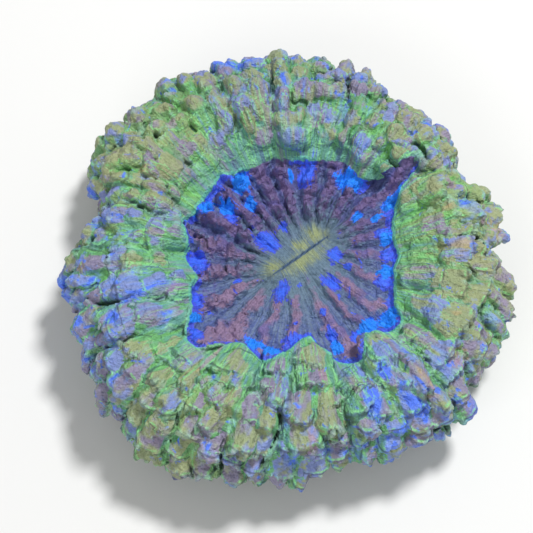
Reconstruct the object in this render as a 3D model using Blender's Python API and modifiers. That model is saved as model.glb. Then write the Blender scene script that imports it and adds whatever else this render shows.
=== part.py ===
"""Doughnut coral: one fleshy polyp, cut off flat where it grew on its rock.

Metres, +Z up.  The polyp stands on its cut base at z = 0.  Bearings are degrees
clockwise from +Y seen from above, and are measured round the mouth.
"""

import math
import random

import bpy
from mathutils import Vector

# Driving dimensions of the polyp, from the cut base upwards.
CUT_RADIUS = 0.0400
COLUMN_RADIUS = 0.0385
COLUMN_HEIGHT = 0.0042
SKIRT_RADIUS = 0.0530
SKIRT_HEIGHT = 0.0085
RIM_RADIUS = 0.0650
RIM_HEIGHT = 0.0180
CREST_RADIUS = 0.0460
CREST_HEIGHT = 0.0332
DISC_RADIUS = 0.0310
DISC_HEIGHT = 0.0240
MOUTH_HEIGHT = 0.0200
MOUTH_OFFSET = (0.0038, 0.0001)
SPARE_BELOW_CUT = 0.0040

# Half section of the plain body as radius and height, from the mouth outwards, over the crest and
# round the rim, then in under the skirt and down the column.
SECTION = [
    (0.0, MOUTH_HEIGHT),
    (0.0155, 0.0212),
    (0.0265, 0.0222),
    (DISC_RADIUS, DISC_HEIGHT),
    (0.0360, 0.0294),
    (0.0415, 0.0322),
    (CREST_RADIUS, CREST_HEIGHT),
    (0.0520, 0.0318),
    (0.0590, 0.0258),
    (0.0630, RIM_HEIGHT),
    (0.0600, 0.0130),
    (SKIRT_RADIUS, SKIRT_HEIGHT),
    (0.0415, 0.0060),
    (COLUMN_RADIUS, COLUMN_HEIGHT),
    (CUT_RADIUS, 0.0),
    (CUT_RADIUS, -SPARE_BELOW_CUT),
    (0.0, -SPARE_BELOW_CUT),
]

# Distance from the mouth to the outer edge, in millimetres, one value every 20 degrees.
OUTLINE = [66, 62, 56, 53, 59, 60, 61, 65, 63, 64, 70, 71, 67, 68, 66, 69, 68, 66]
# Distance from the mouth to the edge of the oral disc, in millimetres, every 15 degrees.
DISC_EDGE = [28, 28, 29, 34, 32, 27, 27, 27, 30, 34, 33, 32, 26, 33, 32, 40, 34, 30, 31, 34, 31, 32, 29, 30]

# The valleys between the radial folds of the mantle, as bearings.
VALLEYS = [3, 17, 30, 45, 60, 75, 89, 101, 115, 128, 141, 153, 167, 183, 200, 213, 227, 241, 256, 271,
           286, 302, 318, 335, 350]
FOLD_DEPTH = 0.0030

# The knobs: each ring's place, as a share of the way from the first to the last, and its knobs' radius.
# The angles are from straight up, over the crest and round the rim.
FIRST_KNOB_ANGLE = -8.0
LAST_KNOB_ANGLE = 118.0
KNOB_RINGS = [(0.00, 0.0034), (0.20, 0.0040), (0.40, 0.0044), (0.60, 0.0045), (0.80, 0.0043), (1.00, 0.0038)]
KNOB_SIZE_SPREAD = 0.16
KNOB_STAND_OUT = 0.0004
KNOB_SINK = 0.0012
# How far a knob may be from the middle of its fold and from its ring, as shares.
KNOB_ASIDE = 0.12
KNOB_ALONG = 0.05
# A knob's half width as a share of its fold's, at the crest and how much more at the skirt.
KNOB_FILL = 0.68
KNOB_FILL_GAIN = 0.16
WIDEST_KNOB = 1.8
# How far inside the outline the plain body and the knobs' middles stop.
BODY_INSET = 0.0020
KNOB_INSET = 0.0045
# How far the last knobs hang below the rim.
UNDER_RIM = 0.0120

DISC_RIDGES = 27
DISC_RIDGE_HEIGHT = 0.0009

SCREW_STEPS = 180
REMESH_VOXEL = 0.0015
KEPT_TRIANGLE_SHARE = 0.165
CUTTER_WIDTH = 0.30
CUTTER_DEPTH = 0.020
FLESH_COLOUR = (0.13, 0.27, 0.22, 1.0)
SEED = 7
MILLIMETRE = 0.001


def heading(bearing):
    """Unit vector in plan for a bearing."""
    angle = math.radians(bearing)
    return Vector((math.sin(angle), math.cos(angle), 0.0))


def around(values, bearing):
    """Reads a ring of evenly spaced values at a bearing, on a smooth closed curve."""
    place = (bearing % 360.0) / 360.0 * len(values)
    first = int(place)
    t = place - first
    a, b, c, d = (values[(first + k) % len(values)] for k in (-1, 0, 1, 2))
    return b + 0.5 * t * (c - a + t * (2 * a - 5 * b + 4 * c - d + t * (3 * (b - c) + d - a)))


def outline(bearing):
    return around(OUTLINE, bearing) * MILLIMETRE


def disc_edge(bearing):
    return around(DISC_EDGE, bearing) * MILLIMETRE


def fold_height(bearing):
    """0 in a valley between two folds, 1 on the back of a fold."""
    bearing %= 360.0
    later = next((v for v in VALLEYS if v > bearing), VALLEYS[0] + 360)
    index = VALLEYS.index(later % 360)
    earlier = VALLEYS[index - 1] - (360 if index == 0 and bearing < VALLEYS[0] else 0)
    share = (bearing - earlier) / (later - earlier)
    return math.sqrt(max(0.0, math.sin(math.pi * share)))


def turned_body():
    """The plain ring of flesh with its sunken disc and its column, turned about the mouth."""
    mesh = bpy.data.meshes.new("turned_body")
    steps = [(k, k + 1) for k in range(len(SECTION) - 1)]
    mesh.from_pydata([(r, 0.0, z) for r, z in SECTION], steps, [])
    body = bpy.data.objects.new("turned_body", mesh)
    bpy.context.collection.objects.link(body)
    screw = body.modifiers.new("turn", "SCREW")
    screw.steps = SCREW_STEPS
    screw.render_steps = SCREW_STEPS
    screw.use_merge_vertices = True
    screw.merge_threshold = 0.00001
    smooth = body.modifiers.new("round the section", "SUBSURF")
    smooth.levels = 1
    smooth.render_levels = 1
    return applied(body)


def applied(source):
    """Replaces an object's mesh by its evaluated mesh."""
    graph = bpy.context.evaluated_depsgraph_get()
    source.data = bpy.data.meshes.new_from_object(source.evaluated_get(graph))
    source.modifiers.clear()
    return source


def grown_radius(radius, bearing):
    """Moves a radius of the turned body out or in, to follow the disc's edge and the outline."""
    edge = disc_edge(bearing)
    outer = outline(bearing) - BODY_INSET
    if radius <= DISC_RADIUS:
        return radius * edge / DISC_RADIUS
    share = (radius - DISC_RADIUS) / (RIM_RADIUS - DISC_RADIUS)
    return edge + (outer - edge) * share


def skirt_radius(radius, bearing):
    """The same for the underside, whose column stays round."""
    share = max(0.0, (radius - CUT_RADIUS) / (RIM_RADIUS - CUT_RADIUS))
    return radius + (outline(bearing) - BODY_INSET - RIM_RADIUS) * share


def grow_folds(body):
    """Gives the turned body its lobed outline, its radial folds and the ridges of its disc."""
    for vertex in body.data.vertices:
        x, y, z = vertex.co
        radius = math.hypot(x, y)
        if radius < MILLIMETRE:
            continue
        bearing = math.degrees(math.atan2(x, y))
        below = z < SKIRT_HEIGHT + MILLIMETRE and radius > DISC_RADIUS or z < COLUMN_HEIGHT
        new_radius = skirt_radius(radius, bearing) if below else grown_radius(radius, bearing)
        lift = 0.0
        if not below and radius > DISC_RADIUS:
            reach = min(1.0, (radius - DISC_RADIUS) / (CREST_RADIUS - DISC_RADIUS))
            depth = FOLD_DEPTH * reach * (1.0 - fold_height(bearing))
            steepness = min(1.0, max(0.0, (radius - CREST_RADIUS) / (RIM_RADIUS - CREST_RADIUS)))
            lift = -depth * (1.0 - steepness)
            new_radius -= depth * steepness
        elif not below:
            reach = math.sin(math.pi * min(1.0, radius / DISC_RADIUS))
            lift = DISC_RIDGE_HEIGHT * reach * math.cos(math.radians(bearing) * DISC_RIDGES)
        vertex.co = heading(bearing) * new_radius + Vector((0.0, 0.0, z + lift))


def mantle_point(bearing, share):
    """A point on the back of the mantle and its outward direction; share runs from crest to skirt."""
    edge = disc_edge(bearing)
    outer = outline(bearing) - KNOB_INSET
    crest = edge + (outer - edge) * (CREST_RADIUS - DISC_RADIUS) / (RIM_RADIUS - DISC_RADIUS)
    angle = math.radians(FIRST_KNOB_ANGLE + (LAST_KNOB_ANGLE - FIRST_KNOB_ANGLE) * share)
    rise = CREST_HEIGHT - RIM_HEIGHT if angle < math.pi / 2 else UNDER_RIM
    radius = crest + (outer - crest) * math.sin(angle)
    z = RIM_HEIGHT + rise * math.cos(angle) - KNOB_SINK
    normal = heading(bearing) * math.sin(angle) + Vector((0.0, 0.0, math.cos(angle)))
    return heading(bearing) * radius + Vector((0.0, 0.0, z)), normal


def add_knob(centre, normal, radius, half_width):
    """One rounded knob of flesh, stretched or narrowed across its fold and facing outwards."""
    bpy.ops.mesh.primitive_ico_sphere_add(subdivisions=3, radius=1.0)
    knob = bpy.context.active_object
    knob.rotation_mode = "QUATERNION"
    knob.rotation_quaternion = normal.to_track_quat("Z", "Y")
    knob.scale = (half_width, radius, radius)
    knob.location = centre + normal * KNOB_STAND_OUT
    return knob


def grow_knobs():
    """Rows of knobs down the back of every fold."""
    chance = random.Random(SEED)
    knobs = []
    for index, valley in enumerate(VALLEYS):
        following = VALLEYS[(index + 1) % len(VALLEYS)] + (360 if index == len(VALLEYS) - 1 else 0)
        span = following - valley
        middle = valley + span / 2
        half_fold = outline(middle) * math.radians(span) / 2
        for share, size in KNOB_RINGS:
            bearing = middle + chance.uniform(-KNOB_ASIDE, KNOB_ASIDE) * span
            place = share + chance.uniform(-KNOB_ALONG, KNOB_ALONG)
            centre, normal = mantle_point(bearing, place)
            radius = size * (1.0 + chance.uniform(-KNOB_SIZE_SPREAD, KNOB_SIZE_SPREAD))
            half_width = min(half_fold * (KNOB_FILL + KNOB_FILL_GAIN * share), radius * WIDEST_KNOB)
            knobs.append(add_knob(centre, normal, radius, half_width))
    return knobs


def join(body, others):
    """Joins the knobs to the body as one object."""
    bpy.ops.object.select_all(action="DESELECT")
    for other in others:
        other.select_set(True)
    body.select_set(True)
    bpy.context.view_layer.objects.active = body
    bpy.ops.object.join()
    return body


def move_to(collection, moved):
    """Takes an object out of its collections and puts it in one."""
    for old in moved.users_collection:
        old.objects.unlink(moved)
    collection.objects.link(moved)


def cut_plane_tool(collection):
    """The block below z = 0 that cuts the polyp off flat."""
    bpy.ops.mesh.primitive_cube_add(size=1.0, location=(0.0, 0.0, -CUTTER_DEPTH / 2))
    block = bpy.context.active_object
    block.name = "cut_below_ground"
    block.scale = (CUTTER_WIDTH, CUTTER_WIDTH, CUTTER_DEPTH)
    block.display_type = "WIRE"
    block.hide_render = True
    move_to(collection, block)
    return block


def fuse(body, cutter):
    """Grows the joined shapes into one skin, coarsens it and cuts it flat."""
    remesh = body.modifiers.new("one skin", "REMESH")
    remesh.mode = "VOXEL"
    remesh.voxel_size = REMESH_VOXEL
    coarsen = body.modifiers.new("coarsen", "DECIMATE")
    coarsen.ratio = KEPT_TRIANGLE_SHARE
    coarsen.use_collapse_triangulate = True
    cut = body.modifiers.new("cut off flat", "BOOLEAN")
    cut.operation = "DIFFERENCE"
    cut.solver = "EXACT"
    cut.object = cutter


def flesh_material():
    material = bpy.data.materials.new("flesh")
    material.use_nodes = True
    shader = material.node_tree.nodes["Principled BSDF"]
    shader.inputs["Base Color"].default_value = FLESH_COLOUR
    shader.inputs["Roughness"].default_value = 0.5
    shader.inputs["Metallic"].default_value = 0.0
    return material


def new_collection(name):
    collection = bpy.data.collections.new(name)
    bpy.context.scene.collection.children.link(collection)
    return collection


def main():
    for old in list(bpy.data.objects):
        bpy.data.objects.remove(old)
    coral = new_collection("doughnut_coral")
    cutters = new_collection("cutters")
    cutters.hide_render = True

    body = turned_body()
    grow_folds(body)
    polyp = join(body, grow_knobs())
    polyp.name = "polyp"
    polyp.data.name = "polyp"
    move_to(coral, polyp)
    mouth = Vector((MOUTH_OFFSET[0], MOUTH_OFFSET[1], 0.0))
    for vertex in polyp.data.vertices:
        vertex.co += mouth
    fuse(polyp, cut_plane_tool(cutters))
    polyp.data.materials.clear()
    polyp.data.materials.append(flesh_material())
    polyp.data.shade_smooth()


main()
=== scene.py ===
"""Looks of the doughnut coral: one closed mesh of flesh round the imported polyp, with its material.

The flesh is worked out in millimetres about the mouth, as a field of signed distances on a grid of
voxels, and then meshed.  Bearings are degrees clockwise from +Y seen from above.  A distance walked is
measured along the ring's section, from the edge of the disc outwards.
"""

import math

import bpy
import numpy as np
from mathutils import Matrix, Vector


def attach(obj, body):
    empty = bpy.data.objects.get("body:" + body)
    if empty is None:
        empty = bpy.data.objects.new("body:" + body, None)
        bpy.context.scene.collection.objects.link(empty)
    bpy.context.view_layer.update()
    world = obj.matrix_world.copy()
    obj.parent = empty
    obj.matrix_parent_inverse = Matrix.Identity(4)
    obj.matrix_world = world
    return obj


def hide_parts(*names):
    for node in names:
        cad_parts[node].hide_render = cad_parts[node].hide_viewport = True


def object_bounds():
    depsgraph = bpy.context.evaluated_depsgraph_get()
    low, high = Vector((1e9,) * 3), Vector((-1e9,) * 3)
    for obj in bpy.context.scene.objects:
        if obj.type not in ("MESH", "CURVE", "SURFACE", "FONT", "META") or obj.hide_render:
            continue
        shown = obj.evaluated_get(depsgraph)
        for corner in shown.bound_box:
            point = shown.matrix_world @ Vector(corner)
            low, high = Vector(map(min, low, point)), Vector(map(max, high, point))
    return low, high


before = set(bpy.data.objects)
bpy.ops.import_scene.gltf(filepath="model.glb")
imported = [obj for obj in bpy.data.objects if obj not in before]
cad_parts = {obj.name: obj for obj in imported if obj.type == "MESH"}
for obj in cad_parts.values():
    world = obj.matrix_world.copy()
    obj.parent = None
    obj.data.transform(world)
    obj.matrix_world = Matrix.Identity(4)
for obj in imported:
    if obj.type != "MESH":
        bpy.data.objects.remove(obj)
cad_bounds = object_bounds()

import openvdb
from mathutils import Vector

MM = 0.001

# ------------ sizes, in millimetres
VOXEL = 0.42
TRIANGLES = 196000
GRID_MARGIN = 5.0
# Further than any scale is looked for.
FAR = 9.0
# The mouth in plan, from the middle of the CAD model's box.
MOUTH_FROM_MIDDLE = (4.1, -0.15)

# The mouth is a slit, and everything on the disc fans out from it.
SLIT_BEARING = 53.0
SLIT_HALF_LENGTH = 10.2
SLIT_HALF_WIDTH = 0.26
SLIT_DEPTH = 1.6

# The disc is lowest at the mouth, but for the swollen lips, and past LOBE_START its lobes climb the ring.
# Its solid reaches down to DISC_FLOOR and into the ring by DISC_OVERLAP.
DISC_HEIGHT = 19.9
DISC_RISE = 2.9
DISC_FLOOR = 12.0
DISC_OVERLAP = 1.2
LIP_RISE = 1.5
LIP_REACH = 6.0
LOBE_START = 31.5
LOBE_REACH = 6.0
LOBE_SLOPE = 0.75
# One lobe is a tongue that stands higher, an oval written as the colour patches are.
TONGUE = [(50.5, 36, 8.5, 3.0)]
TONGUE_HEIGHT = 2.4

# Half section of the ring of flesh at its nominal radii, from under the disc over the crest and back.
DISC_RADIUS = 30.0
RIM_RADIUS = 66.0
SECTION = [
    (0.0, 17.0), (27.5, 19.0), (29.6, 23.2), (30.2, 25.4), (32.4, 26.7), (36.5, 28.4), (40.5, 30.2),
    (44.5, 31.4), (48.5, 31.6), (52.5, 30.6), (56.5, 28.2), (60.2, 24.4), (62.6, 19.8), (63.2, 15.4),
    (61.4, 11.4), (57.0, 9.0), (51.0, 7.6), (44.0, 6.8), (36.0, 6.2), (0.0, 6.0),
]
# Its points from the disc's edge to the underside, along which distances are walked.
SECTION_WALKED = slice(3, -2)
# Radii at which its distances are worked out.
TABLE_STEP = 0.25
TABLE_REACH = 84.0

# The short column under the ring, with faint costae down its side.
COLUMN_RADIUS = 38.5
COLUMN_TOP = 9.0
COLUMN_FLARE = 1.6
COLUMN_FLARE_HEIGHT = 4.0
COLUMN_BLEND = 1.5
COSTAE = 60
COSTA_DEPTH = 0.25

# Distance from the mouth to the outer edge, as (bearing, distance).
OUTLINE = [
    (0, 66), (8, 65.5), (15, 61), (22, 61), (30, 57), (38, 56.5), (44, 53), (52, 57), (60, 51), (70, 58),
    (80, 60.5), (88, 54.5), (100, 60.5), (108, 62), (116, 62.5), (130, 61), (140, 65), (150, 62.5),
    (160, 62), (170, 59.5), (180, 62.5), (190, 65.5), (198, 68), (205, 66.5), (212, 71.5), (220, 71.5),
    (225.5, 65), (231, 71.5), (240, 66.5), (250, 68.5), (260, 66.5), (270, 66.5), (276, 62), (285, 57.5),
    (291, 65), (300, 69.5), (310, 71), (320, 68.5), (330, 69), (340, 66.5), (350, 66),
]
# Distance from the mouth to the edge of the oral disc, with its lobes.
DISC_EDGE = [
    (0, 28.4), (10, 27.8), (20, 29.5), (25, 30.3), (30, 29), (38, 28.3), (43, 29.5), (47, 33.0),
    (50, 39.5), (53, 42.2), (55.5, 39.5), (58, 33), (63, 29.9), (72, 27), (83, 26), (93, 27.3),
    (102, 26.2), (114, 28.2), (122, 30), (127, 34.8), (134, 34.4), (144, 29.6), (150, 33.3), (154, 37.4),
    (162, 34.7), (167, 31), (174, 24.8), (180, 25.8), (189, 30.4), (196, 34.8), (202, 33), (209, 31.2),
    (214, 32), (218, 35.8), (224, 41.3), (228, 41.9), (234, 37.7), (239, 34.4), (246, 33), (251, 31.4),
    (254, 29.2), (258, 29.9), (267, 32.2), (272, 30.7), (281, 32.8), (285, 34.3), (289, 31.9),
    (299, 31.4), (310, 31), (315, 32.3), (320, 30.3), (328, 29), (335, 28.5), (345, 29.9), (350, 28.7),
    (355, 27.8),
]

# Valleys between the folds of the mantle: bearing at the disc, bearing at the rim, depth at the rim.
VALLEYS = [
    (4, 3, 2.4), (17, 15, 2.6), (24, 29, 2.2), (40, 45, 3.4), (59, 60, 3.4), (71, 74, 2.8), (87, 89, 3.4),
    (101, 102, 1.8), (112, 115, 2.0), (122, 130, 2.8), (136, 139, 2.2), (152, 152, 3.0), (165, 166, 3.0),
    (180, 190, 4.0), (197, 201, 4.0), (214, 213, 2.6), (227, 226, 4.2), (234, 242, 3.4), (244, 255, 3.6),
    (268, 270, 3.0), (281, 285, 4.0), (299, 293, 3.0), (310, 308, 2.4), (321, 320, 3.4), (336, 335, 3.0),
    (350, 350, 2.6),
]
# Shares of that depth for the broad groove under the scales and for the narrow crease cut through them.
FOLD_SHARE = 0.88
CREASE_SHARE = 0.42
CREASE_HALF_WIDTH = 0.38
# Broad lumps that make the ring uneven.
LUMP_HEIGHT = 1.1
LUMP_SIZE = 10.0

# Layers of noise, as (height, size, seed), that bend the scales, the valleys, and the ridges of the disc.
WARP = ((0.6, 6.5, 31), (0.30, 2.4, 41))
WANDER = ((3.0, 13.0, 61), (2.0, 4.0, 62))
RIDGE_WANDER = ((0.24, 8.0, 41), (0.16, 2.8, 42))

# Heights between which the top takes over from the underside, and between which what it carries comes in.
TOP_FROM = (9.0, 17.0)
FOLDS_FROM = (7.0, 14.0)
LOBES_FROM = (7.0, 12.0)
CREASES_FROM = (8.0, 14.0)
WRINKLES_FROM = (7.0, 11.0)

# Rows of scales: distance walked, half length, thickness, scale width wanted, and tilt, by which a scale's
# outer end stands out over the next row.
SCALE_ROWS = [
    (6.5, 4.0, 1.4, 7.8, 10), (12.5, 4.3, 1.8, 8.0, 16), (18.5, 4.5, 2.1, 7.8, 22),
    (24.5, 4.6, 2.2, 7.6, 26), (30.5, 4.5, 2.2, 7.2, 28), (36.5, 4.3, 2.1, 6.9, 30),
    (42.5, 3.8, 2.0, 6.4, 30), (48.0, 3.1, 1.6, 5.8, 30),
]
SCALE_SEED = 5
# How much folds and scales differ: distance walked, size, width, rise, tilt, yaw and roll.
FOLD_SHIFTS = (-1.6, 1.2)
SHIFTS = (-0.9, 0.9)
SIZES = (0.68, 1.30)
WIDTHS = (0.84, 1.18)
RISES = (-0.6, 0.5)
TILTS = (-6.0, 7.0)
YAWS = (-16.0, 16.0)
ROLLS = (-10.0, 10.0)
# Every other scale across a fold is further out by this much.
STAGGER = 3.2
# How square a scale is in plan, how much its outer end widens, how domed it is, and the teeth of its edge.
SQUARENESS = 2.6
TAPER = 0.16
PLATE_DOME = 0.85
BALL_DOME = 0.95
EDGE_TEETH = (0.06, 0.06, 0.04)
# How deep the flesh is sunk under the scales, and how far down a scale goes.
SCALE_BED = 0.3
SCALE_DEPTH = 4.0
SCALE_ROUNDING = 0.4
# Flutes run along the outer half of a scale and scallop its end.
FLUTE_SIZE = 2.4
FLUTE_DEPTH = 0.3
SCALLOP = 0.8
# Widths over which a flat scale blends with its neighbours, and how much more a round one does.
SCALE_BLEND = 0.5
BALL_BLEND = 0.7
# How far a scale follows the groove that it is in.
GROOVE_FOLLOWED = 0.8
# Small scales scattered over the rows: how many, and between what their sizes and places lie.
SCALELETS = 110
SCALELET_SIZES = (1.5, 2.6)
SCALELETS_WALKED = (5.0, 45.0)
SCALELET_RISES = (0.4, 1.3)
SCALELET_TILTS = (5.0, 30.0)
SCALELET_YAWS = (-25.0, 25.0)
# Where the smooth skirt shows beyond the scales: bearing, half width in degrees, rows left out.
BARE_SKIRT = [(127, 24, 2), (207, 10, 1), (182, 8, 1)]
# Pointed nipples at the rim: bearing, distance walked, length, radius.
NIPPLES = [
    (50, 40, 3.6, 1.3), (83, 41, 5.0, 1.4), (87, 43, 3.0, 1.2), (141, 46, 3.2, 1.2), (147, 45, 4.4, 1.1),
    (176, 46, 4.6, 1.2), (179, 43, 2.6, 1.0), (186, 45, 3.0, 1.0), (206, 46, 3.0, 1.2),
    (232, 45, 3.2, 1.3), (262, 44, 3.4, 1.2), (266, 46, 3.8, 1.1), (355, 38, 3.2, 1.2), (9, 38, 3.6, 1.3),
    (116, 46, 2.6, 1.1), (303, 42, 2.8, 1.3), (70, 42, 2.4, 1.1), (158, 46, 2.8, 1.1),
]
NIPPLE_TILT = 28.0
NIPPLE_RISE = 1.2
# How far the scales stand out round the polyp, as (bearing, share).
RELIEF = [
    (0, 0.9), (35, 0.9), (60, 0.75), (115, 0.75), (140, 0.9), (180, 1.0), (240, 0.9), (265, 0.85),
    (290, 0.8), (315, 0.8), (335, 0.95),
]
# How round and knob-like the scales are round the polyp, as (bearing, share).
KNOBBLY = [
    (0, 1.0), (40, 0.9), (70, 0.5), (110, 0.4), (140, 0.15), (170, 0.0), (215, 0.0), (240, 0.35),
    (260, 0.75), (290, 0.95), (320, 1.0), (345, 1.0),
]
# Pits narrower than PIT_SIZE are filled to PIT_DEPTH below the flesh round them, less among knobs.
PIT_SIZE = 4.2
PIT_DEPTH = 0.6
KNOB_PITS = 0.25

# Ridges of the oral disc: bearings at the disc's edge, and the seed of what differs between them.
RIDGES = [
    8, 21, 36, 51, 61, 73, 90, 107, 125, 140, 155, 184, 201, 221, 240, 258, 277, 292, 308, 322, 336, 348,
]
RIDGE_SEED = 8
# How high the ridges and their teeth stand, as (bearing, height).
RIDGE_STRENGTH = [
    (0, 2.8), (12, 3.4), (30, 4.0), (45, 4.0), (56, 3.0), (68, 1.6), (100, 1.4), (140, 1.7), (175, 1.4),
    (215, 1.8), (240, 2.6), (265, 3.0), (290, 2.9), (320, 2.8), (345, 2.8),
]
TEETH_STRENGTH = [
    (0, 1.4), (40, 1.4), (60, 0.7), (100, 0.5), (160, 0.4), (210, 0.6), (240, 1.2), (280, 1.7),
    (330, 1.7),
]
TOOTH_SPACING = 2.5
# Fine ribs all over the disc.
RIBS = 58.0
RIB_HEIGHT = 0.10

# Streaks on the disc and the mantle are noise read at places spread round circles of these radii.
FAN_RADIUS = 34.0
FLOW_RADIUS = 46.0

# Distances out from the surface at which paint looks for open space, with how much each counts; where there
# is little, shade is painted.
OPENINGS = ((1.2, 0.45), (3.5, 0.35), (7.0, 0.20))


# ------------ colour patches
# Each patch is an oval: bearing, distance from the mouth, half length outwards, half width across.
DISC_AZURE = [
    (32, 26.5, 3.0, 3.6), (60, 31, 4.6, 2.2), (63, 24, 1.4, 1.2), (54, 20, 2.0, 1.0),
    (80, 24.5, 2.0, 2.0), (102, 24.6, 2.6, 2.4), (128, 31, 2.6, 3.4), (139, 28.5, 2.4, 3.4),
    (160, 29, 2.4, 1.8), (195, 30.5, 2.6, 2.4), (206, 29.5, 1.8, 2.6), (235, 35.5, 2.6, 1.5),
    (297, 29.5, 2.4, 2.6), (305, 25, 2.6, 2.0), (318, 21, 2.0, 1.8), (323, 27, 3.0, 2.9),
    (292, 32.5, 1.6, 1.6), (354, 24.5, 2.0, 0.9),
]
DISC_BLUE = [
    (5, 24.5, 4.4, 2.6), (76, 24, 2.6, 2.4), (91, 24.8, 2.8, 2.2), (110, 24.6, 2.6, 2.6),
    (104, 13.8, 1.5, 1.1), (88, 9.8, 2.2, 2.6), (131, 11.5, 3.6, 2.3), (160, 18, 1.3, 1.1),
    (160, 25.5, 3.2, 1.5), (183, 25.5, 2.4, 3.6), (206, 11.5, 3.8, 2.4), (243, 32, 2.6, 3.6),
    (247, 19, 1.2, 0.9), (264, 29, 3.6, 4.4), (228, 38.5, 2.2, 2.4), (296, 10.5, 4.4, 3.0),
    (332, 10.3, 1.6, 1.6), (300, 22, 2.2, 2.0), (39, 27.5, 2.4, 2.4), (148, 29, 2.0, 2.0),
]
LIP_SPOTS = [(143, 1.6, 3.2, 8.0), (246, 8.5, 3.8, 3.0), (34, 8.0, 3.6, 4.0), (5, 3.0, 2.4, 3.0)]
MAUVE_SPOTS = [
    (173, 29.5, 3.5, 1.8), (174, 22.5, 2.0, 1.4), (142, 36, 8.0, 4.2), (105, 34, 3.6, 2.2),
    (75, 32, 3.6, 1.4), (44, 42, 3.0, 1.6), (210, 34, 5.6, 2.6), (194, 36.5, 2.4, 2.0),
    (195, 48, 2.6, 2.4), (243, 46, 3.2, 2.8), (262, 38.5, 5.6, 4.0), (261, 49, 5.2, 4.6),
    (96, 50, 2.2, 1.6), (111, 44, 1.6, 1.6), (346, 40, 5.0, 4.0), (172, 40, 5.5, 2.2), (84, 42, 4.0, 3.4),
    (314, 47, 3.4, 3.0), (20, 40, 3.6, 2.6), (34, 46, 3.6, 2.4),
]
BLUE_SPOTS = [
    (9, 29.5, 2.4, 1.4), (74, 47, 5.0, 2.0), (158, 50, 5.5, 2.6), (150, 43, 3.4, 2.0),
    (146, 56, 5.0, 3.0), (137, 33.5, 2.2, 2.2), (211, 46, 2.0, 1.4), (208, 50, 1.8, 1.4),
    (246, 55.5, 2.6, 2.6), (277, 57.5, 3.4, 1.8), (288, 62, 2.0, 1.8), (303, 61, 2.0, 2.0),
    (251, 65, 2.6, 3.4), (342, 62, 4.2, 9.0), (240, 41, 4.0, 1.8), (124, 62, 2.5, 5.0),
    (203, 62, 3.6, 1.6), (185, 52, 3.0, 1.6), (232, 63, 3.4, 1.6), (355, 50, 3.6, 1.6),
]
PINK_SPOTS = [
    (142, 54.5, 6.5, 2.0), (172, 39, 4.6, 1.5), (177, 55, 5.0, 2.0), (29, 50, 2.6, 2.2),
    (67, 45.5, 2.8, 2.0), (77, 42, 2.4, 2.4), (82, 55, 5.0, 3.2), (129, 53.5, 3.6, 3.2),
    (93, 44, 4.0, 5.0), (315, 51, 2.4, 2.4), (264, 61, 1.6, 1.5), (296, 49, 2.0, 2.2),
    (217, 42, 7.0, 0.8), (118, 47, 2.4, 2.4),
]
# How blue and how yellow-olive the mantle is, and how blue the border of the disc is, as (bearing, amount).
BLUENESS = [
    (0, 0.13), (30, 0.12), (55, 0.07), (75, 0.06), (110, 0.05), (135, 0.16), (150, 0.2), (166, 0.14),
    (185, 0.06), (205, 0.0), (228, 0.04), (245, 0.16), (275, 0.12), (300, 0.01), (325, 0.06), (345, 0.14),
]
YELLOWNESS = [
    (0, 0.35), (30, 0.42), (70, 0.8), (100, 0.72), (120, 0.38), (135, 0.2), (155, 0.25), (185, 0.15),
    (215, 0.6), (245, 0.0), (270, 0.2), (300, 0.8), (315, 0.62), (335, 0.2),
]
BORDER_BLUE = [
    (0, 0.2), (8, 0.3), (14, -0.5), (50, -0.4), (57, 0.5), (108, 0.5), (118, 0.3), (140, 0.6),
    (148, -0.2), (158, 0.5), (168, 0.0), (178, 0.6), (208, 0.4), (214, -0.2), (224, 0.1), (234, 0.5),
    (246, 0.4), (262, 0.0), (274, 0.2), (284, 0.3), (312, 0.4), (326, 0.2), (334, -0.5), (352, -0.3),
]


# ------------ small tools
# Degrees between the values of a closed curve.
RING_STEP = 0.5


def ring(points, blur):
    """A closed curve through (bearing, value) pairs, softened over blur degrees."""
    bearings, values = np.array(points, float).T
    curve = np.interp(np.arange(0.0, 360.0, RING_STEP), bearings, values, period=360.0)
    steps = np.arange(-40, 41)
    weights = np.exp(-0.5 * (steps * RING_STEP / blur) ** 2)
    return sum(w * np.roll(curve, k) for w, k in zip(weights / weights.sum(), steps))


def around(curve, bearing):
    """Reads a curve made by ring at bearings."""
    marks = np.arange(len(curve) + 1) * RING_STEP
    return np.interp(np.asarray(bearing) % 360.0, marks, np.append(curve, curve[0]))


def ease(value, low, high):
    """0 below low, 1 above high, smooth between."""
    t = np.clip((value - low) / (high - low), 0.0, 1.0)
    return t * t * (3.0 - 2.0 * t)


def polar(x, y):
    """Distance from the mouth and bearing of places in plan."""
    return np.hypot(x, y), np.degrees(np.arctan2(x, y)) % 360.0


def facing(x, y, low, high):
    """How far places in plan are on the side that faces the viewer, from 0 to 1."""
    return ease(-y / np.maximum(np.hypot(x, y), 1.0), low, high)


def smaller(a, b, blend):
    """The smaller of two distances, with the seam rounded over blend."""
    mix = np.clip(0.5 + 0.5 * (b - a) / blend, 0.0, 1.0)
    return b * (1.0 - mix) + a * mix - blend * mix * (1.0 - mix)


def larger(a, b, blend):
    """The larger of two distances, with the edge rounded over blend."""
    return -smaller(-a, -b, blend)


def hashed(x, y, z, seed):
    """A repeatable random number from -1 to 1 for each whole-number place."""
    h = (x.astype(np.int64) * 73856093) ^ (y.astype(np.int64) * 19349663) ^ (z.astype(np.int64) * 83492791)
    h = (h ^ (seed * 2654435761)) & 0xFFFFFFFF
    for _ in range(2):
        h = ((h ^ (h >> 16)) * 0x45D9F3B) & 0xFFFFFFFF
    return ((h ^ (h >> 16)) & 0xFFFFFF) / float(0x7FFFFF) - 1.0


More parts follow.
